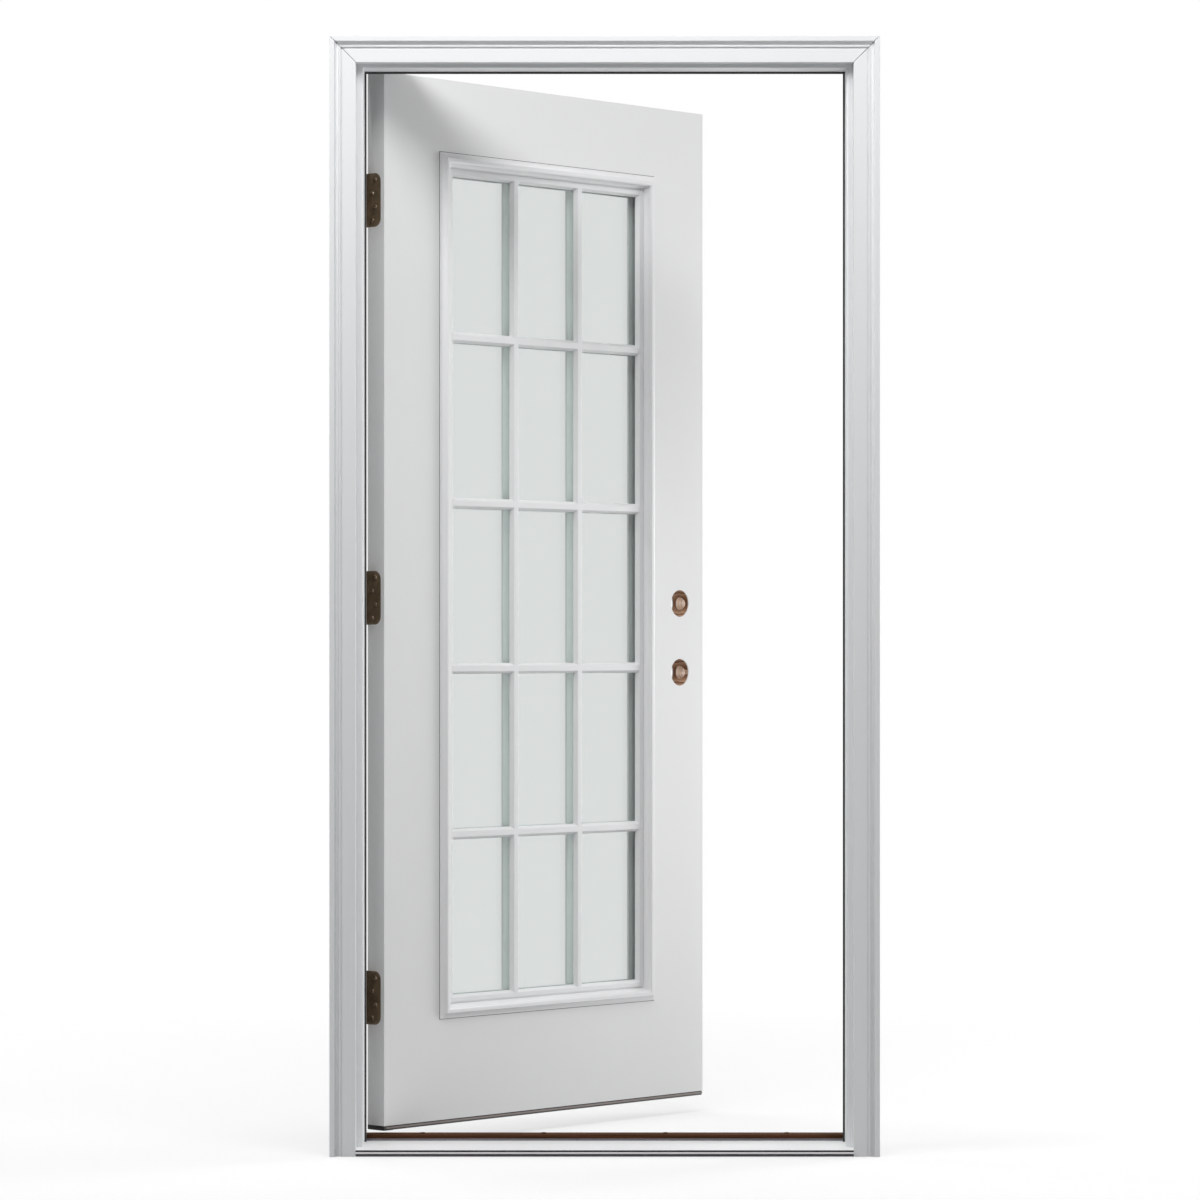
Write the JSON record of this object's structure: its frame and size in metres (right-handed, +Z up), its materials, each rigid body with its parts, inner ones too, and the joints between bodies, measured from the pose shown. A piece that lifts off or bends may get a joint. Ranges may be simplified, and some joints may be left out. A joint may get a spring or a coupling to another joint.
{
  "type": "fifteen lite front door",
  "caption": "White exterior door unit with a glazed leaf divided by bars, bored for two locks, hung on pinned hinges in a cased frame with a sill.",
  "frame": {"origin": "underside of the sill, half way across, on the line where the casing's back meets the wall", "axes": "+Z up; -Y is the exterior side; the hinges are at -X; the leaf opens towards +Y and stands open at rest"},
  "size_m": [1.025, 0.826, 2.087],
  "materials": {
    "frame_paint": "white factory paint, satin",
    "casing_paint": "white factory paint, satin",
    "seal": "black foam seal with a smooth skin",
    "sill_composite": "dark grey composite",
    "sill_metal": "mill finish, bright",
    "cap_composite": "dark brown composite",
    "hinge_bronze": "oil rubbed bronze",
    "leaf_paint": "white smooth factory finish",
    "edge_paint": "white paint on the edges",
    "timber": "bare softwood",
    "foam": "foam filling",
    "lite_moulding": "white moulded plastic",
    "clear_glass": "clear, faint green at the edge",
    "spacer_metal": "satin spacer bar",
    "sweep_vinyl": "grey brown vinyl"
  },
  "bodies": {
    "frame": {"hinge_jamb": "frame_paint", "strike_jamb": "frame_paint", "head_jamb": "frame_paint", "casing_left": "casing_paint", "casing_right": "casing_paint", "casing_head": "casing_paint", "weatherstrip_hinge": "seal", "weatherstrip_strike": "seal", "weatherstrip_head": "seal", "sill_base": "sill_composite", "sill_deck": "sill_metal", "sill_cap": "cap_composite", "frame_hinge_top": "hinge_bronze", "frame_hinge_middle": "hinge_bronze", "frame_hinge_bottom": "hinge_bronze", "hinge_pin_top": "hinge_bronze", "hinge_pin_middle": "hinge_bronze", "hinge_pin_bottom": "hinge_bronze"},
    "door": {"skin_exterior": "leaf_paint", "skin_interior": "leaf_paint", "stile_hinge": "edge_paint", "stile_lock": "edge_paint", "rail_top": "timber", "rail_bottom": "timber", "lock_block": "timber", "foam_core": "foam", "lite_frame_exterior": "lite_moulding", "lite_frame_interior": "lite_moulding", "grille_exterior": "lite_moulding", "grille_interior": "lite_moulding", "pane_exterior": "clear_glass", "pane_interior": "clear_glass", "glass_spacer": "spacer_metal", "door_hinge_top": "hinge_bronze", "door_hinge_middle": "hinge_bronze", "door_hinge_bottom": "hinge_bronze", "bottom_sweep": "sweep_vinyl", "sweep_end_pad": "seal"}
  },
  "joints": [
    {"name": "door_swing", "type": "hinge", "parent": "frame", "child": "door", "pos_m": [-0.4595, 0.1274, 0], "axis": [0, 0, 1], "range_deg": [-47.5, 62.5]}
  ]
}
